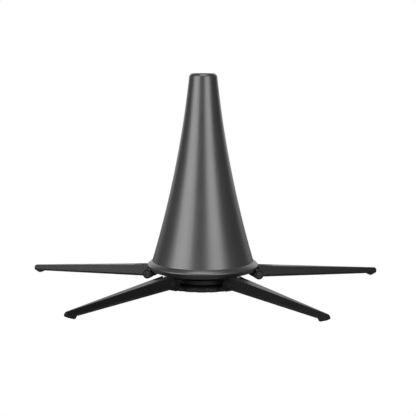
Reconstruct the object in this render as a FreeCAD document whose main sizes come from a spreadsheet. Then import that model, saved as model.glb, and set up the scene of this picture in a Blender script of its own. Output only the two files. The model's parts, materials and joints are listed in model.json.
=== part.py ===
import FreeCAD, Part
import math
import os
import re

import Sketcher

# A free-standing trumpet stand: a bell cone on a hub with five folding legs, held by a hand wheel.
# The origin is on the cone's axis at the level of the floor. +Z is up and -Y is the front.
# Each leg is drawn lying along +X, with X as the distance from the cone's axis, and then turned about Z.

os.makedirs("parts", exist_ok=True)

LEG_COUNT = 5
BASE_SCREW_COUNT = 5
SCALLOP_COUNT = 22
WHEEL_RIB_COUNT = 9

# Driving dimensions in millimetres and degrees.
DIMENSIONS = {
    # bell cone: a hollow flare whose side is one long arc, with a flared rim and a bevelled foot
    "cone_height": 204.0,
    "cone_crown_height": 199.8,
    "cone_crown_radius": 13.55,
    "cone_flare_radius": 998.0,
    "cone_middle_height": 112.0,
    "cone_middle_radius": 27.3,
    "cone_kink_height": 23.4,
    "cone_kink_radius": 49.2,
    "rim_height": 19.5,
    "rim_radius": 54.1,
    "rim_bulge": 0.35,
    "rim_bulge_radius": 12.0,
    "rim_round": 1.2,
    "cone_foot_height": 15.0,
    "cone_foot_radius": 50.2,
    "cone_wall": 2.2,
    "cone_foot_wall": 3.1,
    "cone_crown_wall": 3.3,
    "boss_circle_radius": 36.5,
    "boss_radius": 3.6,
    "boss_height": 12.0,
    "boss_rib_thickness": 2.0,
    "boss_rib_end": 45.7,
    "boss_pilot_depth": 11.0,
    # plate that closes the cone's foot
    "base_plate_bottom": 13.8,
    "base_plate_thickness": 3.4,
    "base_plate_radius": 46.2,
    "insert_boss_radius": 9.0,
    "insert_boss_height": 9.0,
    "insert_radius": 6.0,
    "insert_lift": 0.4,
    "insert_cap_thickness": 2.0,
    "base_screw_radius": 1.4,
    "base_screw_length": 11.0,
    "base_screw_head_radius": 2.8,
    "base_screw_head_height": 1.6,
    # hub: a round band, a boss above it that carries the cone, and five arms out to the hinges
    "hub_radius": 33.0,
    "hub_bottom": 5.4,
    "hub_band_top": 9.7,
    "hub_boss_radius": 28.0,
    "hub_top": 13.7,
    "hub_edge_bevel": 0.5,
    "hub_neck_radius": 26.0,
    "hub_neck_height": 0.25,
    "clip_recess_radius": 10.0,
    "clip_recess_depth": 2.2,
    "lug_thickness": 7.0,
    "lug_knuckle_radius": 4.3,
    "lug_root_reach": 12.0,
    "lug_arm_bottom": 10.6,
    "lug_nose_rise": 0.8,
    "lug_end": 70.9,
    "lug_top": 13.4,
    "lug_step_reach": 47.8,
    "lug_step_top": 14.6,
    # clamp wheel
    "wheel_bottom": 0.3,
    "wheel_top": 4.0,
    "wheel_radius": 42.0,
    "wheel_wall": 3.2,
    "wheel_web_thickness": 1.8,
    "wheel_bevel": 0.6,
    "wheel_boss_radius": 12.0,
    "wheel_rib_thickness": 2.0,
    "wheel_rib_lift": 0.4,
    "wheel_rib_root": 1.0,
    "scallop_depth": 1.5,
    "scallop_radius": 4.6,
    "wheel_neck_radius": 24.0,
    "wheel_neck_width": 6.0,
    "wheel_neck_height": 0.25,
    "washer_thickness": 0.8,
    "washer_gap": 0.05,
    "washer_bore_radius": 14.0,
    # stud through the middle
    "stud_radius": 4.0,
    "stud_top": 23.0,
    "stud_bevel": 0.8,
    "stud_head_radius": 7.0,
    "stud_head_bottom": 1.2,
    "clip_lift": 0.3,
    "clip_groove_depth": 0.8,
    "clip_thickness": 1.0,
    "clip_radius": 7.5,
    "cap_radius": 10.0,
    "cap_thickness": 0.8,
    "running_gap": 0.05,
    # legs: wedges that narrow and drop evenly from the hinge to the end
    "leg_pitch": 72.0,
    "first_leg_angle": -54.0,
    "pivot_reach": 54.2,
    "pivot_height": 8.2,
    "knuckle_radius": 4.7,
    "knuckle_width": 23.0,
    "leg_root_reach": 55.5,
    "leg_root_top": 16.1,
    "leg_root_bottom": 6.3,
    "leg_root_top_width": 10.4,
    "leg_root_width": 22.6,
    "leg_end_reach": 185.0,
    "leg_end_top": 6.9,
    "leg_end_bottom": 1.7,
    "leg_end_top_width": 1.2,
    "leg_end_width": 6.2,
    "leg_lip": 1.0,
    "leg_root_ledge": 2.0,
    "leg_end_ledge": 0.6,
    "leg_ledge_rise": 0.5,
    "leg_wall": 2.0,
    "leg_crest": 0.8,
    "hollow_start": 76.0,
    "hollow_end": 166.0,
    "leg_pad_reach": 174.0,
    "leg_pad_height": 2.3,
    "leg_bend_reach": 179.0,
    "leg_toe_height": 4.2,
    "leg_edge_bevel": 0.3,
    "leg_tip_round": 2.2,
    "tip_round_depth": 2.9,
    # hinges and feet
    "slot_width": 7.4,
    "slot_end": 71.0,
    "slot_round_radius": 4.9,
    "hinge_screw_radius": 1.5,
    "hinge_head_radius": 2.6,
    "hinge_head_height": 1.5,
    "hinge_head_sink": 0.8,
    "hinge_nut_radius": 2.9,
    "hinge_nut_height": 1.5,
    "foot_width": 6.8,
    "foot_heel_reach": 174.6,
    "foot_flat_start": 176.8,
    "foot_flat_end": 178.9,
    "foot_toe_reach": 184.2,
    "foot_toe_height": 2.6,
    "foot_toe_side": 1.2,
    "foot_toe_lip": 0.2,
    "foot_toe_wrap": 0.4,
    "foot_peg_radius": 1.2,
    "foot_peg_height": 1.8,
    "foot_peg_reach": 178.0,
    "foot_peg_root": 0.5,
    "foot_peg_room": 0.2,
    # how far a cut runs on past the piece it is made in
    "cut_past": 5.0,
}

HINGE = ("pivot_reach", "pivot_height")

# how far along each axis the middle of a quarter circle lies, in radii
QUARTER_MIDDLE = math.sqrt(0.5)

Z_AXIS = FreeCAD.Vector(0, 0, 1)
ORIGIN = FreeCAD.Vector(0, 0, 0)

doc = FreeCAD.newDocument("trumpet_stand")
sheet = doc.addObject("Spreadsheet::Sheet", "Sizes")
for row, (alias, value) in enumerate(DIMENSIONS.items(), start=1):
    sheet.set(f"A{row}", alias)
    sheet.set(f"B{row}", str(value))
    sheet.setAlias(f"B{row}", alias)
doc.recompute()

nodes = []


# ---------------------------------------------------------------- helpers


def bound(text):
    """The expression with every driving dimension read from the sheet."""

    def from_sheet(word):
        return "Sizes." + word.group() if word.group() in DIMENSIONS else word.group()

    return re.sub(r"[a-z_]+", from_sheet, str(text))


def size(text):
    """The present value of an expression in the driving dimensions."""
    return float(sheet.evalExpression(str(text)))


def node(item, label):
    """Registers a document object as one piece of the stand."""
    item.Label = label
    nodes.append(item)
    return item


def new_body(name):
    return doc.addObject("PartDesign::Body", name)


def origin_plane(body, role):
    return next(feature for feature in body.Origin.OriginFeatures if feature.Role == role)


def outline(body, name, plane, corners, arcs=None):
    """A closed sketch through the corners, each a pair of expressions. arcs maps the index of the corner
    where an arc starts to (x, y, radius): a point near the arc's middle, and its radius."""
    arcs = arcs or {}
    sketch = body.newObject("Sketcher::SketchObject", name)
    sketch.AttachmentSupport = (origin_plane(body, plane), [""])
    sketch.MapMode = "FlatFace"
    places = [FreeCAD.Vector(size(x), size(y), 0) for x, y in corners]
    first_ends = []
    for index, start in enumerate(places):
        end = places[(index + 1) % len(places)]
        if index in arcs:
            middle = FreeCAD.Vector(size(arcs[index][0]), size(arcs[index][1]), 0)
            sketch.addGeometry(Part.Arc(start, middle, end))
        else:
            sketch.addGeometry(Part.LineSegment(start, end))
        first_ends.append(1 if sketch.getPoint(index, 1).distanceToPoint(start) < 1e-6 else 2)
    for index, (x, y) in enumerate(corners):
        following = (index + 1) % len(corners)
        joint = (index, 3 - first_ends[index], following, first_ends[following])
        sketch.addConstraint(Sketcher.Constraint("Coincident", *joint))
        for kind, text in (("DistanceX", x), ("DistanceY", y)):
            constraint = Sketcher.Constraint(kind, -1, 1, index, first_ends[index], size(text))
            bind_constraint(sketch, constraint, text)
        if index in arcs:
            radius = arcs[index][2]
            bind_constraint(sketch, Sketcher.Constraint("Radius", index, size(radius)), radius)
    return sketch


def bind_constraint(sketch, constraint, text):
    number = sketch.addConstraint(constraint)
    sketch.setExpression(f"Constraints[{number}]", bound(text))


def bulge(start, end, rise):
    """A point that lies the given rise to the left of the middle of the line from start to end."""
    (x1, y1), (x2, y2) = start, end
    length = f"sqrt(({x2} - {x1})^2 + ({y2} - {y1})^2)"
    x = f"({x1} + {x2}) / 2 - ({y2} - {y1}) / {length} * {rise}"
    y = f"({y1} + {y2}) / 2 + ({x2} - {x1}) / {length} * {rise}"
    return x, y


def circles(body, name, plane, rings):
    """A sketch of full circles, each (x, y, radius) in expressions."""
    sketch = body.newObject("Sketcher::SketchObject", name)
    sketch.AttachmentSupport = (origin_plane(body, plane), [""])
    sketch.MapMode = "FlatFace"
    for index, (x, y, radius) in enumerate(rings):
        centre = FreeCAD.Vector(size(x), size(y), 0)
        sketch.addGeometry(Part.Circle(centre, Z_AXIS, size(radius)))
        bind_constraint(sketch, Sketcher.Constraint("DistanceX", -1, 1, index, 3, size(x)), x)
        bind_constraint(sketch, Sketcher.Constraint("DistanceY", -1, 1, index, 3, size(y)), y)
        bind_constraint(sketch, Sketcher.Constraint("Radius", index, size(radius)), radius)
    return sketch


def bind_lift(sketch, text):
    """Moves a sketch along its own normal."""
    sketch.setExpression("AttachmentOffset.Base.z", bound(text))


def pad(body, sketch, length, symmetric=False):
    feature = body.newObject("PartDesign::Pad", sketch.Name + "_pad")
    feature.Profile = sketch
    feature.setExpression("Length", bound(length))
    feature.SideType = "Symmetric" if symmetric else "One side"
    sketch.Visibility = False
    return feature


def pocket(body, sketch, length=None, symmetric=True, reverse=False):
    """Cuts the sketch's outline. With no length it goes right through, both ways. Checks that it cut."""
    doc.recompute()
    before = body.Shape.Volume
    feature = body.newObject("PartDesign::Pocket", sketch.Name + "_pocket")
    feature.Profile = sketch
    feature.SideType = "Symmetric" if symmetric else "One side"
    if length is None:
        feature.Type = "ThroughAll"
    else:
        feature.setExpression("Length", bound(length))
    feature.Reversed = reverse
    doc.recompute()
    if body.Shape.Volume > before - 1e-3:
        raise RuntimeError(f"{feature.Name} cuts nothing")
    return feature


def revolve(body, sketch):
    feature = body.newObject("PartDesign::Revolution", sketch.Name + "_turned")
    feature.Profile = sketch
    feature.ReferenceAxis = (sketch, ["V_Axis"])
    feature.Angle = 360
    return feature


def polar(body, originals, count):
    pattern = body.newObject("PartDesign::PolarPattern", originals[0].Name + "_around")
    pattern.Originals = originals
    pattern.Axis = (origin_plane(body, "Z_Axis"), [""])
    pattern.Angle = 360
    pattern.Occurrences = count
    body.Tip = pattern
    return pattern


def bevel(body, wanted, length, kind="Chamfer"):
    """Chamfers or fillets the edges of the body's last shape for which wanted(edge) is true."""
    doc.recompute()
    names = [f"Edge{number}" for number, edge in enumerate(body.Shape.Edges, start=1) if wanted(edge)]
    if not names:
        raise RuntimeError(f"{body.Name} has no edge to work")
    tip = body.Tip
    feature = body.newObject("PartDesign::" + kind, f"{body.Name}_{kind.lower()}")
    feature.Base = (tip, names)
    feature.setExpression("Radius" if kind == "Fillet" else "Size", bound(length))
    return feature


def cylinder(name, radius, low, high, bore=None):
    """A plain disc, pin or ring about Z between two heights."""
    solid = doc.addObject("Part::Cylinder", name + "_disc")
    solid.setExpression("Radius", bound(radius))
    solid.setExpression("Height", bound(f"({high}) - ({low})"))
    solid.setExpression("Placement.Base.z", bound(low))
    if bore is None:
        return solid
    hole = doc.addObject("Part::Cylinder", name + "_hole")
    hole.setExpression("Radius", bound(bore))
    hole.setExpression("Height", bound(f"({high}) - ({low})"))
    hole.setExpression("Placement.Base.z", bound(low))
    ring = doc.addObject("Part::Cut", name)
    ring.Base = solid
    ring.Tool = hole
    return ring


def joined(name, items):
    fused = doc.addObject("Part::MultiFuse", name)
    fused.Shapes = items
    fused.Refine = True
    return fused


# ---------------------------------------------------------------- cone


def cone_shell():
    """The bell cone: outside and inside turned as one section, then screw bosses with ribs in its foot."""
    body = new_body("cone_shell")
    crown_round = "(cone_height - cone_crown_height)"
    crown_corner = f"{crown_round} * {1 - QUARTER_MIDDLE:.4f}"
    kink = ("cone_kink_radius", "cone_kink_height")
    rim = ("rim_radius", "rim_height")
    corners = [
        ("0", "cone_height"),
        (f"cone_crown_radius - {crown_round}", "cone_height"),
        ("cone_crown_radius", "cone_crown_height"),
        kink,
        rim,
        ("cone_foot_radius", "cone_foot_height"),
        ("cone_foot_radius - cone_foot_wall", "cone_foot_height"),
        ("cone_kink_radius - cone_wall", "cone_kink_height - cone_wall"),
        ("cone_crown_radius - cone_wall", "cone_crown_height - cone_wall"),
        ("0", "cone_height - cone_crown_wall"),
    ]
    arcs = {
        1: (f"cone_crown_radius - {crown_corner}", f"cone_height - {crown_corner}", crown_round),
        2: ("cone_middle_radius", "cone_middle_height", "cone_flare_radius"),
        3: (*bulge(kink, rim, "rim_bulge"), "rim_bulge_radius"),
        7: ("cone_middle_radius - cone_wall", "cone_middle_height", "cone_flare_radius + cone_wall"),
    }
    revolve(body, outline(body, "cone_section", "XZ_Plane", corners, arcs))
    bevel(body, lambda edge: on_circle(edge, size("rim_radius"), size("rim_height")), "rim_round", "Fillet")
    boss_outline = circles(body, "cone_boss", "XY_Plane", [("boss_circle_radius", "0", "boss_radius")])
    bind_lift(boss_outline, "base_plate_bottom + base_plate_thickness")
    boss = pad(body, boss_outline, "boss_height")
    rib_outline = outline(
        body,
        "cone_rib",
        "XY_Plane",
        [
            ("boss_circle_radius", "-boss_rib_thickness / 2"),
            ("boss_rib_end", "-boss_rib_thickness / 2"),
            ("boss_rib_end", "boss_rib_thickness / 2"),
            ("boss_circle_radius", "boss_rib_thickness / 2"),
        ],
    )
    bind_lift(rib_outline, "base_plate_bottom + base_plate_thickness")
    rib = pad(body, rib_outline, "boss_height")
    polar(body, [boss, rib], BASE_SCREW_COUNT)
    pilot_circle = ("boss_circle_radius", "0", "base_screw_radius")
    pilot_outline = circles(body, "cone_pilot", "XY_Plane", [pilot_circle])
    bind_lift(pilot_outline, "base_plate_bottom + base_plate_thickness")
    pilot = pocket(body, pilot_outline, "boss_pilot_depth", symmetric=False, reverse=True)
    polar(body, [pilot], BASE_SCREW_COUNT)
    return node(body, "cone_shell")


def on_circle(edge, radius, height):
    """True for a round edge about Z with this radius at this height."""
    curve = edge.Curve
    if not isinstance(curve, Part.Circle):
        return False
    return abs(curve.Radius - radius) < 0.01 and abs(curve.Center.z - height) < 0.01


def cone_base_plate():
    """The plate in the cone's foot, with a blind boss for the threaded insert and holes for its screws."""
    body = new_body("cone_base_plate")
    top = "base_plate_bottom + base_plate_thickness"
    insert_top = top + " + insert_boss_height"
    corners = [
        ("insert_radius", "base_plate_bottom"),
        ("base_plate_radius", "base_plate_bottom"),
        ("base_plate_radius", top),
        ("insert_boss_radius", top),
        ("insert_boss_radius", insert_top + " + insert_cap_thickness"),
        ("0", insert_top + " + insert_cap_thickness"),
        ("0", insert_top),
        ("insert_radius", insert_top),
    ]
    revolve(body, outline(body, "base_plate_section", "XZ_Plane", corners))
    hole_circle = ("boss_circle_radius", "0", "base_screw_radius")
    hole = pocket(body, circles(body, "base_screw_hole", "XY_Plane", [hole_circle]))
    seat_circle = ("boss_circle_radius", "0", "base_screw_head_radius")
    head_outline = circles(body, "base_screw_seat", "XY_Plane", [seat_circle])
    bind_lift(head_outline, "base_plate_bottom")
    seat = pocket(body, head_outline, "base_screw_head_height", symmetric=False, reverse=True)
    polar(body, [hole, seat], BASE_SCREW_COUNT)
    return node(body, "cone_base_plate")


def base_plate_screws():
    """The screws that hold the base plate to the cone's bosses, as one group of separate solids."""
    pieces = []
    for index in range(BASE_SCREW_COUNT):
        name = f"base_screw_{index + 1}"
        shank_top = "base_plate_bottom + base_screw_length"
        shank = cylinder(name + "_shank", "base_screw_radius", "base_plate_bottom", shank_top)
        head_top = "base_plate_bottom + base_screw_head_height"
        head = cylinder(name + "_head", "base_screw_head_radius", "base_plate_bottom", head_top)
        screw = joined(name, [shank, head])
        turn = FreeCAD.Rotation(Z_AXIS, 360.0 * index / BASE_SCREW_COUNT)
        offset = FreeCAD.Vector(size("boss_circle_radius"), 0, 0)
        screw.Placement = FreeCAD.Placement(turn.multVec(offset), turn)
        pieces.append(screw)
    group = doc.addObject("Part::Compound", "base_plate_screws")
    group.Links = pieces
    return node(group, "base_plate_screws")


def threaded_insert():
    """The brass insert in the base plate's boss. Its thread is a plain bore."""
    bottom = "base_plate_bottom + insert_lift"
    top = "base_plate_bottom + base_plate_thickness + insert_boss_height"
    insert = cylinder("threaded_insert", "insert_radius", bottom, top, "stud_radius + running_gap")
    return node(insert, "threaded_insert")


# ---------------------------------------------------------------- hub


def leg_hub():
    """The hub: a turned band and boss, a neck below, a recess for the clip, and one arm for each leg."""
    body = new_body("leg_hub")
    bore = "stud_radius + running_gap"
    corners = [
        (bore, "hub_bottom - hub_neck_height"),
        ("hub_neck_radius", "hub_bottom - hub_neck_height"),
        ("hub_neck_radius", "hub_bottom"),
        ("hub_radius - hub_edge_bevel", "hub_bottom"),
        ("hub_radius", "hub_bottom + hub_edge_bevel"),
        ("hub_radius", "hub_band_top - hub_edge_bevel"),
        ("hub_radius - hub_edge_bevel", "hub_band_top"),
        ("hub_boss_radius", "hub_band_top"),
        ("hub_boss_radius", "hub_top"),
        ("clip_recess_radius", "hub_top"),
        ("clip_recess_radius", "hub_top - clip_recess_depth"),
        (bore, "hub_top - clip_recess_depth"),
    ]
    revolve(body, outline(body, "hub_section", "XZ_Plane", corners))
    drop = "lug_arm_bottom - pivot_height"
    nose = "pivot_height + lug_nose_rise"
    arm_corners = [
        ("lug_root_reach", "lug_top"),
        ("lug_root_reach", "lug_arm_bottom"),
        (f"pivot_reach - sqrt(lug_knuckle_radius^2 - ({drop})^2)", "lug_arm_bottom"),
        ("pivot_reach + sqrt(lug_knuckle_radius^2 - lug_nose_rise^2)", nose),
        ("lug_end", nose),
        ("lug_end", "lug_step_top"),
        ("lug_step_reach", "lug_step_top"),
        ("lug_step_reach", "lug_top"),
    ]
    arm_arcs = {2: ("pivot_reach", "pivot_height - lug_knuckle_radius", "lug_knuckle_radius")}
    arm_outline = outline(body, "arm_side", "XZ_Plane", arm_corners, arm_arcs)
    arm = pad(body, arm_outline, "lug_thickness", symmetric=True)
    hole_outline = circles(body, "arm_hole", "XZ_Plane", [(*HINGE, "hinge_screw_radius + running_gap")])
    hole = pocket(body, hole_outline, "lug_thickness * 2")
    polar(body, [arm, hole], LEG_COUNT)
    body.Placement = FreeCAD.Placement(ORIGIN, FreeCAD.Rotation(Z_AXIS, size("first_leg_angle")))
    body.setExpression("Placement.Rotation.Angle", bound("first_leg_angle"))
    return node(body, "leg_hub")


# ---------------------------------------------------------------- clamp wheel


def clamp_wheel():
    """The hand wheel: a shallow pan with a scalloped edge, a boss for the stud and ribs between them."""
    body = new_body("clamp_wheel")
    web_bottom = "wheel_top - wheel_web_thickness"
    corners = [
        ("stud_radius", web_bottom),
        ("stud_radius", "wheel_top"),
        ("wheel_neck_radius - wheel_neck_width", "wheel_top"),
        ("wheel_neck_radius - wheel_neck_width", "wheel_top + wheel_neck_height"),
        ("wheel_neck_radius", "wheel_top + wheel_neck_height"),
        ("wheel_neck_radius", "wheel_top"),
        ("wheel_radius - wheel_bevel", "wheel_top"),
        ("wheel_radius", "wheel_top - wheel_bevel"),
        ("wheel_radius", "wheel_bottom + wheel_bevel"),
        ("wheel_radius - wheel_bevel", "wheel_bottom"),
        ("wheel_radius - scallop_depth - wheel_wall", "wheel_bottom"),
        ("wheel_radius - scallop_depth - wheel_wall", web_bottom),
        ("wheel_boss_radius", web_bottom),
        ("wheel_boss_radius", "wheel_bottom + cap_thickness"),
        ("stud_head_radius", "wheel_bottom + cap_thickness"),
        ("stud_head_radius", web_bottom),
    ]
    revolve(body, outline(body, "wheel_section", "XZ_Plane", corners))
    rib_start = "wheel_boss_radius - wheel_rib_root"
    rib_end = "wheel_radius - scallop_depth - wheel_wall + wheel_rib_root"
    rib_outline = outline(
        body,
        "wheel_rib",
        "XY_Plane",
        [
            (rib_start, "-wheel_rib_thickness / 2"),
            (rib_end, "-wheel_rib_thickness / 2"),
            (rib_end, "wheel_rib_thickness / 2"),
            (rib_start, "wheel_rib_thickness / 2"),
        ],
    )
    bind_lift(rib_outline, "wheel_bottom + wheel_rib_lift")
    rib = pad(body, rib_outline, "wheel_top - wheel_web_thickness - wheel_bottom")
    polar(body, [rib], WHEEL_RIB_COUNT)
    reach = "wheel_radius - scallop_depth + scallop_radius"
    scallop = pocket(body, circles(body, "wheel_scallop", "XY_Plane", [(reach, "0", "scallop_radius")]))
    polar(body, [scallop], SCALLOP_COUNT)
    return node(body, "clamp_wheel")


def wheel_stud():
    """The stud: a round head in the wheel's boss and a shank up into the insert, grooved for the clip."""
    body = new_body("wheel_stud")
    groove = "hub_top - clip_recess_depth + clip_lift"
    corners = [
        ("0", "stud_head_bottom"),
        ("stud_head_radius", "stud_head_bottom"),
        ("stud_head_radius", "wheel_top - wheel_web_thickness"),
        ("stud_radius", "wheel_top - wheel_web_thickness"),
        ("stud_radius", groove),
        ("stud_radius - clip_groove_depth", groove),
        ("stud_radius - clip_groove_depth", groove + " + clip_thickness"),
        ("stud_radius", groove + " + clip_thickness"),
        ("stud_radius", "stud_top - stud_bevel"),
        ("stud_radius - stud_bevel", "stud_top"),
        ("0", "stud_top"),
    ]
    revolve(body, outline(body, "stud_section", "XZ_Plane", corners))
    return node(body, "wheel_stud")


def stud_clip():
    """The open retaining clip in the stud's groove."""
    low = "hub_top - clip_recess_depth + clip_lift"
    bore = "stud_radius - clip_groove_depth"
    ring = cylinder("stud_clip_ring", "clip_radius", low, low + " + clip_thickness", bore)
    gap = doc.addObject("Part::Box", "stud_clip_gap")
    gap.setExpression("Length", bound("clip_radius * 2"))
    gap.setExpression("Width", bound("stud_radius"))
    gap.setExpression("Height", bound("clip_thickness * 3"))
    gap.setExpression("Placement.Base.y", bound("-stud_radius / 2"))
    gap.setExpression("Placement.Base.z", bound(f"{low} - clip_thickness"))
    clip = doc.addObject("Part::Cut", "stud_clip")
    clip.Base = ring
    clip.Tool = gap
    return node(clip, "stud_clip")


def slip_washer():
    """The thin washer between the wheel's neck and the hub's neck."""
    low = "wheel_top + wheel_neck_height + washer_gap"
    high = low + " + washer_thickness"
    return node(cylinder("slip_washer", "wheel_neck_radius", low, high, "washer_bore_radius"), "slip_washer")


def wheel_cap():
    """The cover over the stud's head, flush with the underside of the wheel."""
    high = "wheel_bottom + cap_thickness"
    return node(cylinder("wheel_cap", "cap_radius", "wheel_bottom", high), "wheel_cap")


# ---------------------------------------------------------------- legs


def turned(item, index):
    """Turns a piece drawn along +X to the place of leg number index."""
    angle = f"first_leg_angle + leg_pitch * {index}"
    item.Placement = FreeCAD.Placement(ORIGIN, FreeCAD.Rotation(Z_AXIS, size(angle)))
    item.setExpression("Placement.Rotation.Angle", bound(angle))
    return item


def along_leg(reach, root, end):
    """The value at a reach of a size that changes evenly from the root of a leg to its end."""
    return f"({root} + ({end} - {root}) * ({reach} - leg_root_reach) / (leg_end_reach - leg_root_reach))"


def leg_top(reach):
    return along_leg(reach, "leg_root_top", "leg_end_top")


def leg_bottom(reach):
    return along_leg(reach, "leg_root_bottom", "leg_end_bottom")


def mirrored_outline(body, name, reach, side):
    """An outline across the leg at one reach: one side's corners, then the same ones on the other side."""
    other = [(f"-({x})", y) for x, y in reversed(side)]
    sketch = outline(body, name, "YZ_Plane", side + other)
    bind_lift(sketch, reach)
    return sketch


def leg_section(body, name, reach):
    """The wedge section of a leg: an upright lip, a ledge above it and a side that leans in to the top."""
    low = leg_bottom(reach)
    half = along_leg(reach, "leg_root_width", "leg_end_width") + " / 2"
    half_top = along_leg(reach, "leg_root_top_width", "leg_end_top_width") + " / 2"
    ledge = along_leg(reach, "leg_root_ledge", "leg_end_ledge")
    side = [
        (half, low),
        (half, f"{low} + leg_lip"),
        (f"{half} - {ledge}", f"{low} + leg_lip + leg_ledge_rise"),
        (half_top, leg_top(reach)),
    ]
    return mirrored_outline(body, name, reach, side)


def hollow_section(body, name, reach):
    """The hollow under a leg, open below."""
    half = along_leg(reach, "leg_root_width", "leg_end_width") + " / 2"
    half_top = along_leg(reach, "leg_root_top_width", "leg_end_top_width") + " / 2"
    side = [
        (f"{half} - leg_wall", f"{leg_bottom(reach)} - leg_wall / 2"),
        (f"{half_top} - leg_crest", f"{leg_top(reach)} - leg_wall"),
    ]
    return mirrored_outline(body, name, reach, side)


def loft(body, kind, name, near, far):
    feature = body.newObject("PartDesign::" + kind, name)
    feature.Profile = near
    feature.Sections = [far]
    feature.Ruled = True
    return feature


def leg(index):
    """One leg: a wedge, hollow below, with a round knuckle at its root and a seat for the foot at its end."""
    number = index + 1
    body = new_body(f"leg_{number}")
    knuckle = circles(body, f"knuckle_{number}", "XZ_Plane", [(*HINGE, "knuckle_radius")])
    pad(body, knuckle, "knuckle_width", symmetric=True)
    root = leg_section(body, f"leg_near_{number}", "leg_root_reach")
    end = leg_section(body, f"leg_far_{number}", "leg_end_reach")
    loft(body, "AdditiveLoft", f"wedge_{number}", root, end)
    bevel(body, along_leg_top, "leg_edge_bevel")
    near = hollow_section(body, f"hollow_near_{number}", "hollow_start")
    far = hollow_section(body, f"hollow_far_{number}", "hollow_end")
    loft(body, "SubtractiveLoft", f"hollow_{number}", near, far)
    cut_leg_root(body, number)
    seat_corners = [
        ("leg_pad_reach", "leg_pad_height"),
        ("leg_bend_reach", "leg_pad_height"),
        ("leg_end_reach", "leg_toe_height"),
        ("leg_end_reach + cut_past", "leg_toe_height"),
        ("leg_end_reach + cut_past", "-cut_past"),
        ("leg_pad_reach", "-cut_past"),
    ]
    pocket(body, outline(body, f"foot_seat_{number}", "XZ_Plane", seat_corners))
    peg_hole = circles(body, f"peg_hole_{number}", "XY_Plane", [("foot_peg_reach", "0", "foot_peg_radius")])
    bind_lift(peg_hole, "leg_pad_height - cut_past")
    pocket(body, peg_hole, "foot_peg_height + foot_peg_room + cut_past", symmetric=False, reverse=True)
    round_tip(body, f"leg_plan_{number}")
    round_tip_top(body, f"leg_tip_{number}")
    return node(turned(body, index), f"leg_{number}")


def along_leg_top(edge):
    """True for the long outer edges of a leg's top face, while the leg lies along +X."""
    if edge.Length < size("leg_end_reach - leg_root_reach") / 2:
        return False
    ends = [vertex.Point for vertex in edge.Vertexes]
    return all(end.z > size(leg_top(end.x)) - 0.05 for end in ends)


def cut_leg_root(body, number):
    """The slot for the hub's arm, the hinge bore, and the seats of the screw's head and nut."""
    inner = "hub_radius + cut_past"
    above = "leg_root_top + cut_past"
    slot_corners = [
        (inner, "pivot_height - slot_round_radius"),
        ("pivot_reach", "pivot_height - slot_round_radius"),
        ("pivot_reach + slot_round_radius", "pivot_height"),
        ("slot_end", "pivot_height"),
        ("slot_end", above),
        (inner, above),
    ]
    near_middle = f"slot_round_radius * {QUARTER_MIDDLE:.4f}"
    slot_arcs = {1: (f"pivot_reach + {near_middle}", f"pivot_height - {near_middle}", "slot_round_radius")}
    pocket(body, outline(body, f"slot_side_{number}", "XZ_Plane", slot_corners, slot_arcs), "slot_width")
    bore_circle = (*HINGE, "hinge_screw_radius + running_gap")
    pocket(body, circles(body, f"hinge_bore_{number}", "XZ_Plane", [bore_circle]))
    head_circle = (*HINGE, "hinge_head_radius + running_gap")
    head_seat = circles(body, f"head_seat_{number}", "XZ_Plane", [head_circle])
    bind_lift(head_seat, "knuckle_width / 2 - hinge_head_sink")
    pocket(body, head_seat, "hinge_head_sink + cut_past", symmetric=False, reverse=True)
    nut_seat = hexagon(body, f"nut_seat_{number}", "hinge_nut_radius + running_gap")
    bind_lift(nut_seat, "hinge_head_sink - knuckle_width / 2")
    pocket(body, nut_seat, "hinge_head_sink + cut_past", symmetric=False)


def hexagon(body, name, radius):
    """A hexagon about the hinge with two corners above and below."""
    corners = []
    for corner in range(6):
        turn = math.radians(60 * corner + 30)
        across = f"pivot_reach + ({radius}) * {math.cos(turn):.6f}"
        along = f"pivot_height + ({radius}) * {math.sin(turn):.6f}"
        corners.append((across, along))
    return outline(body, name, "XZ_Plane", corners)


def round_tip(body, name):
    """Cuts the end of a leg or foot to nearly a half circle seen from above."""
    half = "(foot_width / 2 + foot_toe_lip)"
    tip = "leg_end_reach + foot_toe_wrap"
    shoulder = tip + " - tip_round_depth"
    past = "leg_end_reach + cut_past"
    corners = [
        (shoulder, f"-{half}"),
        (shoulder, half),
        (shoulder, "foot_width"),
        (past, "foot_width"),
        (past, "-foot_width"),
        (shoulder, "-foot_width"),
    ]
    arcs = {0: (tip, "0", f"({half}^2 + tip_round_depth^2) / (2 * tip_round_depth)")}
    pocket(body, outline(body, name, "XY_Plane", corners, arcs))


def round_tip_top(body, name):
    """Rounds the top of a leg's end, seen from the side."""
    start_reach = "leg_end_reach - leg_tip_round"
    start = (start_reach, leg_top(start_reach))
    end = ("leg_end_reach", "leg_end_top - leg_tip_round")
    past = "leg_end_reach + cut_past"
    above = "leg_end_top + cut_past"
    corners = [start, end, (past, end[1]), (past, above), (start_reach, above)]
    rise = f"leg_tip_round * {1 - QUARTER_MIDDLE:.4f}"
    arcs = {0: (*bulge(start, end, rise), "leg_tip_round")}
    pocket(body, outline(body, name, "XZ_Plane", corners, arcs))


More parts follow.
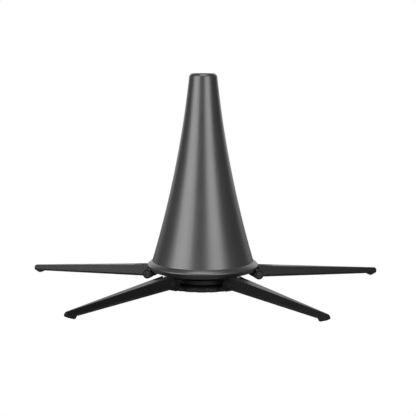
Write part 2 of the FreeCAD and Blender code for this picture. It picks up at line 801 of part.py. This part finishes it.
def foot(index):
    """The rubber pad under a leg's tip: a small flat that stands on the floor, a bevelled toe and a peg."""
    number = index + 1
    body = new_body(f"foot_{number}")
    toe_end = "leg_end_reach + foot_toe_wrap"
    corners = [
        ("foot_heel_reach", "leg_pad_height"),
        ("foot_flat_start", "0"),
        ("foot_flat_end", "0"),
        ("foot_toe_reach", "foot_toe_height"),
        (toe_end, "foot_toe_height + foot_toe_side"),
        (toe_end, "leg_toe_height + foot_toe_lip"),
        ("leg_end_reach", "leg_toe_height"),
        ("leg_bend_reach", "leg_pad_height"),
    ]
    pad(body, outline(body, f"foot_side_{number}", "XZ_Plane", corners), "foot_width", symmetric=True)
    peg = circles(body, f"foot_peg_{number}", "XY_Plane", [("foot_peg_reach", "0", "foot_peg_radius")])
    bind_lift(peg, "leg_pad_height - foot_peg_root")
    pad(body, peg, "foot_peg_height + foot_peg_root")
    round_tip(body, f"foot_plan_{number}")
    return node(turned(body, index), f"foot_{number}")


def hinge_screw(index):
    """The screw through a knuckle, with its head in the seat on one side and its end in the nut."""
    number = index + 1
    body = new_body(f"hinge_screw_{number}")
    shank = circles(body, f"screw_shank_{number}", "XZ_Plane", [(*HINGE, "hinge_screw_radius")])
    pad(body, shank, "knuckle_width", symmetric=True)
    head = circles(body, f"screw_head_{number}", "XZ_Plane", [(*HINGE, "hinge_head_radius")])
    bind_lift(head, "knuckle_width / 2 - hinge_head_sink")
    pad(body, head, "hinge_head_height")
    return node(turned(body, index), f"hinge_screw_{number}")


def hinge_nut(index):
    """The hexagon nut in the seat on the other side of the knuckle."""
    number = index + 1
    body = new_body(f"hinge_nut_{number}")
    outer = hexagon(body, f"nut_side_{number}", "hinge_nut_radius")
    bind_lift(outer, "hinge_head_sink - knuckle_width / 2 - hinge_nut_height")
    pad(body, outer, "hinge_nut_height")
    bore = circles(body, f"nut_bore_{number}", "XZ_Plane", [(*HINGE, "hinge_screw_radius")])
    pocket(body, bore)
    return node(turned(body, index), f"hinge_nut_{number}")


# ---------------------------------------------------------------- the whole stand


def build():
    cone_shell()
    cone_base_plate()
    base_plate_screws()
    threaded_insert()
    leg_hub()
    slip_washer()
    clamp_wheel()
    wheel_stud()
    stud_clip()
    wheel_cap()
    for index in range(LEG_COUNT):
        leg(index)
        foot(index)
        hinge_screw(index)
        hinge_nut(index)
    doc.recompute()


def check():
    """Stops if any object failed or any piece has no valid shape."""
    for item in doc.Objects:
        if "Invalid" in item.State or "Error" in item.State:
            raise RuntimeError(f"{item.Name} failed: {item.State}")
    for piece in nodes:
        if piece.Shape.isNull() or not piece.Shape.isValid() or not piece.Shape.Solids:
            raise RuntimeError(f"{piece.Label} has no valid solid")


def write():
    for piece in nodes:
        piece.Shape.exportStep(f"parts/{piece.Label}.step")
        volume = piece.Shape.Volume / 1000
        print(f"{piece.Label:20s} solids {len(piece.Shape.Solids)} volume {volume:8.3f} cm3")


build()
check()
write()
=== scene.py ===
import json
import math

import bpy
from mathutils import Matrix, Vector

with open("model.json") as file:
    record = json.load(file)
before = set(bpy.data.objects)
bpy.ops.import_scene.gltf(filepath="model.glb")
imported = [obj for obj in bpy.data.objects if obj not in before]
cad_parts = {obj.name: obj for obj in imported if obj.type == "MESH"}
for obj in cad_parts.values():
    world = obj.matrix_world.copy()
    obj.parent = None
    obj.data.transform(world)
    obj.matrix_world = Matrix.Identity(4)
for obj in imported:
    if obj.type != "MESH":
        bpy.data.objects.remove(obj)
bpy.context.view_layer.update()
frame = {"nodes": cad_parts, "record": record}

# The trumpet stand in a white studio. All lengths are metres in the row's own frame: the origin is on the
# cone's axis at floor level, +Z is up and -Y is the front. Angles are degrees.

# Camera: a long lens in front of the stand, level with the cone's crown and looking slightly down.
# The lens and sensor are in mm.
CAMERA_DISTANCE = 0.946
CAMERA_HEIGHT = 0.1996
CAMERA_AZIMUTH = 1.95
CAMERA_YAW = 0.295
CAMERA_PITCH = -7.517
CAMERA_ROLL = 0.157
CAMERA_LENS = 85.4
CAMERA_SENSOR = 36.0

# Studio: lamps aim at the stand's middle. The wall's light fades in between two values of the direction's y.
FLOOR_SIZE = 8.0
FLOOR_COLOR = (0.22, 0.22, 0.22, 1.0)
FLOOR_ROUGHNESS = 0.9
ROOM_LIGHT = 0.07
WALL_LIGHT = 1.0
WALL_FADE_START = 0.55
WALL_FADE_END = 0.85
WHITE = (1, 1, 1, 1)
LAMP_TARGET = Vector((0, 0, 0.09))
LAMP_DISTANCE = 1.5

# Blender's Mix node has a pair of inputs and an output for each data type; these are the colour ones.
MIX_COLOR_FIRST = 6
MIX_COLOR_SECOND = 7
MIX_COLOR_RESULT = 2


# ---------------------------------------------------------------- node helpers


class Shader:
    """A node tree being built, with short calls for the nodes that the materials share."""

    def __init__(self, name):
        self.material = bpy.data.materials.new(name)
        self.material.use_nodes = True
        self.tree = self.material.node_tree
        self.surface = self.tree.nodes["Principled BSDF"]
        self.place = self.add("ShaderNodeTexCoord").outputs["Object"]

    def add(self, kind, **settings):
        node = self.tree.nodes.new(kind)
        for key, value in settings.items():
            setattr(node, key, value)
        return node

    def link(self, source, target):
        self.tree.links.new(source, target)

    def set(self, **values):
        """Sets plain numbers and colours on the shader's own sockets."""
        for key, value in values.items():
            self.surface.inputs[key.replace("_", " ")].default_value = value

    def stretched(self, x, y, z):
        """The place coordinates scaled along each axis."""
        mapping = self.add("ShaderNodeMapping")
        mapping.inputs["Scale"].default_value = (x, y, z)
        self.link(self.place, mapping.inputs["Vector"])
        return mapping.outputs["Vector"]

    def noise(self, waves, detail=3.0, roughness=0.55, place=None):
        """Noise with this many waves to the metre, from 0 to 1."""
        node = self.add("ShaderNodeTexNoise")
        node.inputs["Scale"].default_value = waves
        node.inputs["Detail"].default_value = detail
        node.inputs["Roughness"].default_value = roughness
        self.link(place or self.place, node.inputs["Vector"])
        return node.outputs["Fac"]

    def spread(self, value, low, high, start=0.3, end=0.7):
        """Maps a value that runs from start to end onto low to high."""
        node = self.add("ShaderNodeMapRange")
        node.inputs["From Min"].default_value = start
        node.inputs["From Max"].default_value = end
        node.inputs["To Min"].default_value = low
        node.inputs["To Max"].default_value = high
        self.link(value, node.inputs["Value"])
        return node.outputs["Result"]

    def math(self, operation, first, second):
        node = self.add("ShaderNodeMath", operation=operation)
        for socket, value in zip(node.inputs, (first, second)):
            if isinstance(value, (int, float)):
                socket.default_value = value
            else:
                self.link(value, socket)
        return node.outputs["Value"]

    def mix(self, factor, first, second):
        """A colour between first and second, each a colour or a socket."""
        node = self.add("ShaderNodeMix", data_type="RGBA")
        self.link(factor, node.inputs["Factor"])
        for number, value in ((MIX_COLOR_FIRST, first), (MIX_COLOR_SECOND, second)):
            if isinstance(value, tuple):
                node.inputs[number].default_value = (*value, 1.0)
            else:
                self.link(value, node.inputs[number])
        return node.outputs[MIX_COLOR_RESULT]

    def edges(self, radius, width=0.06):
        """1 along sharp edges and 0 elsewhere, from how far a rounded normal leans from the true one."""
        rounded = self.add("ShaderNodeBevel", samples=4)
        rounded.inputs["Radius"].default_value = radius
        true_normal = self.add("ShaderNodeNewGeometry").outputs["Normal"]
        dot = self.add("ShaderNodeVectorMath", operation="DOT_PRODUCT")
        self.link(rounded.outputs["Normal"], dot.inputs[0])
        self.link(true_normal, dot.inputs[1])
        return self.spread(dot.outputs["Value"], 1.0, 0.0, 1.0 - width, 1.0)

    def bumps(self, *layers):
        """Chains bump layers, each (height, depth in metres), and feeds them to the shader's normal."""
        normal = None
        for height, depth in layers:
            node = self.add("ShaderNodeBump")
            node.inputs["Strength"].default_value = 1.0
            node.inputs["Distance"].default_value = depth
            self.link(height, node.inputs["Height"])
            if normal is not None:
                self.link(normal, node.inputs["Normal"])
            normal = node.outputs["Normal"]
        self.link(normal, self.surface.inputs["Normal"])

    def feed(self, **sources):
        for key, source in sources.items():
            self.link(source, self.surface.inputs[key.replace("_", " ")])


# ---------------------------------------------------------------- materials


def cone_finish():
    """Satin charcoal lacquer: a fine metallic fleck, faint turning lines, and sharp edges made lighter as a
    painted highlight.
    """
    lacquer, fleck_color, cloud_color = (0.150, 0.150, 0.153), (0.185, 0.185, 0.188), (0.20, 0.20, 0.203)
    painted_highlight = (0.27, 0.27, 0.27)
    orange_peel_depth = 0.000006
    hairline_depth = 0.000002
    s = Shader("cone_satin")
    fleck = s.noise(waves=5200.0, detail=1.0)
    cloud = s.noise(waves=26.0, detail=4.0)
    hairline = s.noise(waves=1.0, detail=2.0, place=s.stretched(x=24.0, y=24.0, z=2600.0))
    base = s.mix(s.spread(fleck, low=0.0, high=1.0), lacquer, fleck_color)
    base = s.mix(s.spread(cloud, low=0.0, high=0.35), base, cloud_color)
    # Painted highlight: sharp edges are made lighter, standing in for the light that the rounded rim and
    # edges catch.
    base = s.mix(s.edges(radius=0.0008), base, painted_highlight)
    rough = s.math("ADD", s.spread(cloud, low=0.33, high=0.38), s.spread(hairline, low=-0.015, high=0.02))
    s.set(Metallic=0.75, Coat_Weight=0.15, Coat_Roughness=0.3)
    s.feed(Base_Color=base, Roughness=rough)
    s.bumps((s.noise(waves=900.0, detail=2.0), orange_peel_depth), (hairline, hairline_depth))
    return s.material


def moulded_black(name, shade, rough, grain_depth, painted_edge_highlight):
    """Black moulded plastic: fine grain, soft flow marks, and sharp edges smoother, with a painted highlight
    that makes them a little lighter.
    """
    flow_depth = 0.00002
    edge_polish = 0.08
    s = Shader(name)
    grain = s.noise(waves=2400.0, detail=2.0)
    flow = s.noise(waves=60.0, detail=4.0)
    edge = s.edges(radius=0.0005)
    dark = (shade, shade, shade * 1.03)
    light = (shade * 1.5, shade * 1.5, shade * 1.55)
    base = s.mix(s.spread(flow, low=0.0, high=0.6), dark, light)
    # Painted highlight: sharp edges are made lighter, standing in for the light that rounded edges of the
    # real part catch.
    base = s.mix(edge, base, (painted_edge_highlight, painted_edge_highlight, painted_edge_highlight))
    flow_rough = s.spread(flow, low=rough - 0.03, high=rough + 0.05)
    roughness = s.math("ADD", flow_rough, s.spread(grain, low=-0.03, high=0.03))
    s.set(IOR=1.49)
    s.feed(Base_Color=base, Roughness=s.math("SUBTRACT", roughness, s.math("MULTIPLY", edge, edge_polish)))
    s.bumps((grain, grain_depth), (flow, flow_depth))
    return s.material


def rubber():
    """Matt black rubber, slightly dusty, with a fine tooth."""
    clean, dusty = (0.012, 0.012, 0.012), (0.03, 0.029, 0.028)
    tooth_depth = 0.00004
    s = Shader("foot_rubber")
    tooth = s.noise(waves=1800.0, detail=3.0)
    dust = s.noise(waves=140.0, detail=5.0)
    s.set(IOR=1.45)
    s.feed(
        Base_Color=s.mix(s.spread(dust, low=0.0, high=0.5), clean, dusty),
        Roughness=s.spread(dust, low=0.62, high=0.8),
    )
    s.bumps((tooth, tooth_depth))
    return s.material


def metal(name, color, rough, worn):
    """Turned or plated metal: fine scratches, uneven plating and edges worn to a lighter tone."""
    dulled = tuple(channel * 0.7 for channel in color)
    scratch_depth = 0.000006
    s = Shader(name)
    scratch = s.noise(waves=1.0, detail=3.0, place=s.stretched(x=300.0, y=300.0, z=5200.0))
    patch = s.noise(waves=420.0, detail=4.0)
    base = s.mix(s.spread(patch, low=0.0, high=0.4), color, dulled)
    base = s.mix(s.edges(radius=0.0003), base, worn)
    patch_rough = s.spread(patch, low=rough - 0.04, high=rough + 0.08)
    s.set(Metallic=1.0)
    s.feed(Base_Color=base, Roughness=s.math("ADD", patch_rough, s.spread(scratch, low=-0.05, high=0.05)))
    s.bumps((scratch, scratch_depth))
    return s.material


def nylon():
    """Smooth dark nylon with faint rub marks."""
    fresh, rubbed = (0.04, 0.04, 0.04), (0.065, 0.065, 0.063)
    rub_depth = 0.00001
    s = Shader("washer_nylon")
    rub = s.noise(waves=700.0, detail=2.0)
    s.set(IOR=1.53)
    s.feed(
        Base_Color=s.mix(s.spread(rub, low=0.0, high=1.0), fresh, rubbed),
        Roughness=s.spread(rub, low=0.38, high=0.5),
    )
    s.bumps((rub, rub_depth))
    return s.material


def leg_finish():
    return moulded_black("leg_black", shade=0.010, rough=0.34, grain_depth=0.000008, painted_edge_highlight=0.035)


def hub_finish():
    return moulded_black("black_moulding", shade=0.026, rough=0.42, grain_depth=0.000012, painted_edge_highlight=0.045)


def dark_steel():
    return metal("dark_steel", color=(0.09, 0.09, 0.095), rough=0.36, worn=(0.35, 0.35, 0.36))


def bright_steel():
    return metal("bright_steel", color=(0.62, 0.63, 0.65), rough=0.28, worn=(0.8, 0.8, 0.8))


def brass():
    return metal("brass", color=(0.72, 0.52, 0.24), rough=0.3, worn=(0.85, 0.68, 0.38))


def finishes():
    """One material for each of the record's slots."""
    return {
        "cone_satin": cone_finish(),
        "leg_black": leg_finish(),
        "black_moulding": hub_finish(),
        "foot_rubber": rubber(),
        "dark_steel": dark_steel(),
        "bright_steel": bright_steel(),
        "brass": brass(),
        "washer_nylon": nylon(),
    }


def dress(nodes, materials):
    """Gives every CAD node the material of its slot."""
    slot_of = {item["node"]: item["material_slot"] for item in frame["record"]["subparts"]}
    for name, item in nodes.items():
        item.data.materials.clear()
        item.data.materials.append(materials[slot_of[name]])


# ---------------------------------------------------------------- studio


def floor():
    """A floor that the camera sees as white, like the background, and that is grey to all other light."""
    mesh = bpy.data.meshes.new("studio_floor")
    half = FLOOR_SIZE / 2
    corners = [(-half, -half, 0), (half, -half, 0), (half, half, 0), (-half, half, 0)]
    mesh.from_pydata(corners, [], [(0, 1, 2, 3)])
    item = bpy.data.objects.new("studio_floor", mesh)
    bpy.context.scene.collection.objects.link(item)
    s = Shader("studio_floor")
    s.set(Base_Color=FLOOR_COLOR, Roughness=FLOOR_ROUGHNESS)
    seen = s.add("ShaderNodeEmission")
    path = s.add("ShaderNodeLightPath")
    choose = s.add("ShaderNodeMixShader")
    s.link(path.outputs["Is Camera Ray"], choose.inputs["Fac"])
    s.link(s.surface.outputs["BSDF"], choose.inputs[1])
    s.link(seen.outputs["Emission"], choose.inputs[2])
    s.link(choose.outputs["Shader"], s.tree.nodes["Material Output"].inputs["Surface"])
    mesh.materials.append(s.material)


def softbox(name, azimuth, elevation, width, height, power):
    """A rectangular lamp facing the stand. Azimuth 0 is the front, and grows towards +X."""
    lamp = bpy.data.lights.new(name, "AREA")
    lamp.shape = "RECTANGLE"
    lamp.size = width
    lamp.size_y = height
    lamp.energy = power
    item = bpy.data.objects.new(name, lamp)
    turn, rise = math.radians(azimuth), math.radians(elevation)
    offset = Vector((math.sin(turn) * math.cos(rise), -math.cos(turn) * math.cos(rise), math.sin(rise)))
    item.location = LAMP_TARGET + offset * LAMP_DISTANCE
    item.rotation_euler = (-offset).to_track_quat("-Z", "Y").to_euler()
    bpy.context.scene.collection.objects.link(item)


def surroundings():
    """White for the camera; for light and reflections a dim room with a white wall behind the stand."""
    world = bpy.data.worlds.new("studio")
    bpy.context.scene.world = world
    world.use_nodes = True
    tree = world.node_tree
    tree.nodes.clear()
    output = tree.nodes.new("ShaderNodeOutputWorld")
    seen = tree.nodes.new("ShaderNodeBackground")
    seen.inputs["Color"].default_value = WHITE
    room = tree.nodes.new("ShaderNodeBackground")
    place = tree.nodes.new("ShaderNodeTexCoord")
    split = tree.nodes.new("ShaderNodeSeparateXYZ")
    wall = tree.nodes.new("ShaderNodeMapRange")
    wall.interpolation_type = "SMOOTHSTEP"
    wall.inputs["From Min"].default_value = WALL_FADE_START
    wall.inputs["From Max"].default_value = WALL_FADE_END
    wall.inputs["To Min"].default_value = ROOM_LIGHT
    wall.inputs["To Max"].default_value = WALL_LIGHT
    path = tree.nodes.new("ShaderNodeLightPath")
    choose = tree.nodes.new("ShaderNodeMixShader")
    tree.links.new(place.outputs["Generated"], split.inputs["Vector"])
    tree.links.new(split.outputs["Y"], wall.inputs["Value"])
    tree.links.new(wall.outputs["Result"], room.inputs["Color"])
    tree.links.new(path.outputs["Is Camera Ray"], choose.inputs["Fac"])
    tree.links.new(room.outputs["Background"], choose.inputs[1])
    tree.links.new(seen.outputs["Background"], choose.inputs[2])
    tree.links.new(choose.outputs["Shader"], output.inputs["Surface"])


def camera():
    """The camera: on its azimuth about the stand, then turned by its yaw, pitch and roll."""
    data = bpy.data.cameras.new("camera")
    data.lens = CAMERA_LENS
    data.sensor_width = CAMERA_SENSOR
    item = bpy.data.objects.new("camera", data)
    bpy.context.scene.collection.objects.link(item)
    azimuth = math.radians(CAMERA_AZIMUTH)
    place = Vector((math.sin(azimuth), -math.cos(azimuth), 0)) * CAMERA_DISTANCE
    place.z = CAMERA_HEIGHT
    heading = Matrix.Rotation(math.radians(CAMERA_AZIMUTH - CAMERA_YAW), 4, "Z")
    tilt = Matrix.Rotation(math.radians(90 + CAMERA_PITCH), 4, "X")
    roll = Matrix.Rotation(math.radians(CAMERA_ROLL), 4, "Z")
    item.matrix_world = Matrix.Translation(place) @ heading @ tilt @ roll
    bpy.context.scene.camera = item


def studio():
    floor()
    surroundings()
    softbox("left_softbox", azimuth=-50, elevation=12, width=1.25, height=1.3, power=12)
    softbox("right_softbox", azimuth=34, elevation=12, width=0.95, height=1.3, power=9)
    softbox("top_softbox", azimuth=0, elevation=75, width=0.9, height=0.9, power=6)
    bpy.context.scene.view_settings.view_transform = "Standard"


studio()
camera()
dress(frame["nodes"], finishes())
